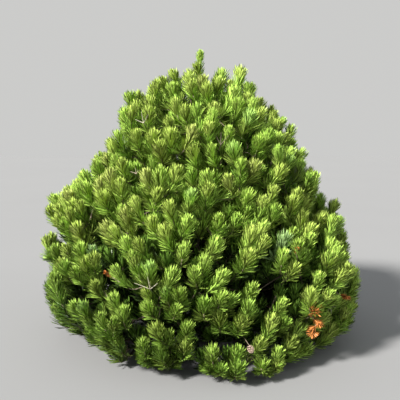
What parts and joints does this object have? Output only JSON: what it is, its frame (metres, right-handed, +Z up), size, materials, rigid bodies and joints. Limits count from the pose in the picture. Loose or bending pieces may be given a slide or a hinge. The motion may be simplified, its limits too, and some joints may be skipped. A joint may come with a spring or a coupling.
{
  "type": "bosnian pine",
  "caption": "Compact Bosnian pine: a conical, dense crown of upright needle brushes clothing its boughs down to the ground around one tapering trunk.",
  "frame": {"origin": "middle of the trunk's flat cut, at ground level", "axes": "+Z up along the trunk; the pictured side faces -Y, with its right-hand side towards +X"},
  "size_m": [2.228, 2.2554, 1.95],
  "materials": {
    "bark": "rough grey-brown bark",
    "needles": "semi-matt green pine needles"
  },
  "bodies": {
    "root": {"bough_high_1": "bark", "bough_high_2": "bark", "bough_high_3": "bark", "bough_high_4": "bark", "bough_low_1": "bark", "bough_low_2": "bark", "bough_low_3": "bark", "bough_low_4": "bark", "bough_low_5": "bark", "bough_low_6": "bark", "bough_middle_1": "bark", "bough_middle_2": "bark", "bough_middle_3": "bark", "bough_middle_4": "bark", "bough_middle_5": "bark", "bough_skirt_1": "bark", "bough_skirt_2": "bark", "bough_skirt_3": "bark", "bough_skirt_4": "bark", "bough_skirt_5": "bark", "bough_skirt_6": "bark", "bough_top_1": "bark", "bough_top_2": "bark", "bough_top_3": "bark", "foliage_high_1": "needles", "foliage_high_2": "needles", "foliage_high_3": "needles", "foliage_high_4": "needles", "foliage_leader": "needles", "foliage_low_1": "needles", "foliage_low_2": "needles", "foliage_low_3": "needles", "foliage_low_4": "needles", "foliage_low_5": "needles", "foliage_low_6": "needles", "foliage_middle_1": "needles", "foliage_middle_2": "needles", "foliage_middle_3": "needles", "foliage_middle_4": "needles", "foliage_middle_5": "needles", "foliage_skirt_1": "needles", "foliage_skirt_2": "needles", "foliage_skirt_3": "needles", "foliage_skirt_4": "needles", "foliage_skirt_5": "needles", "foliage_skirt_6": "needles", "foliage_top_1": "needles", "foliage_top_2": "needles", "foliage_top_3": "needles", "trunk": "bark"}
  },
  "joints": []
}
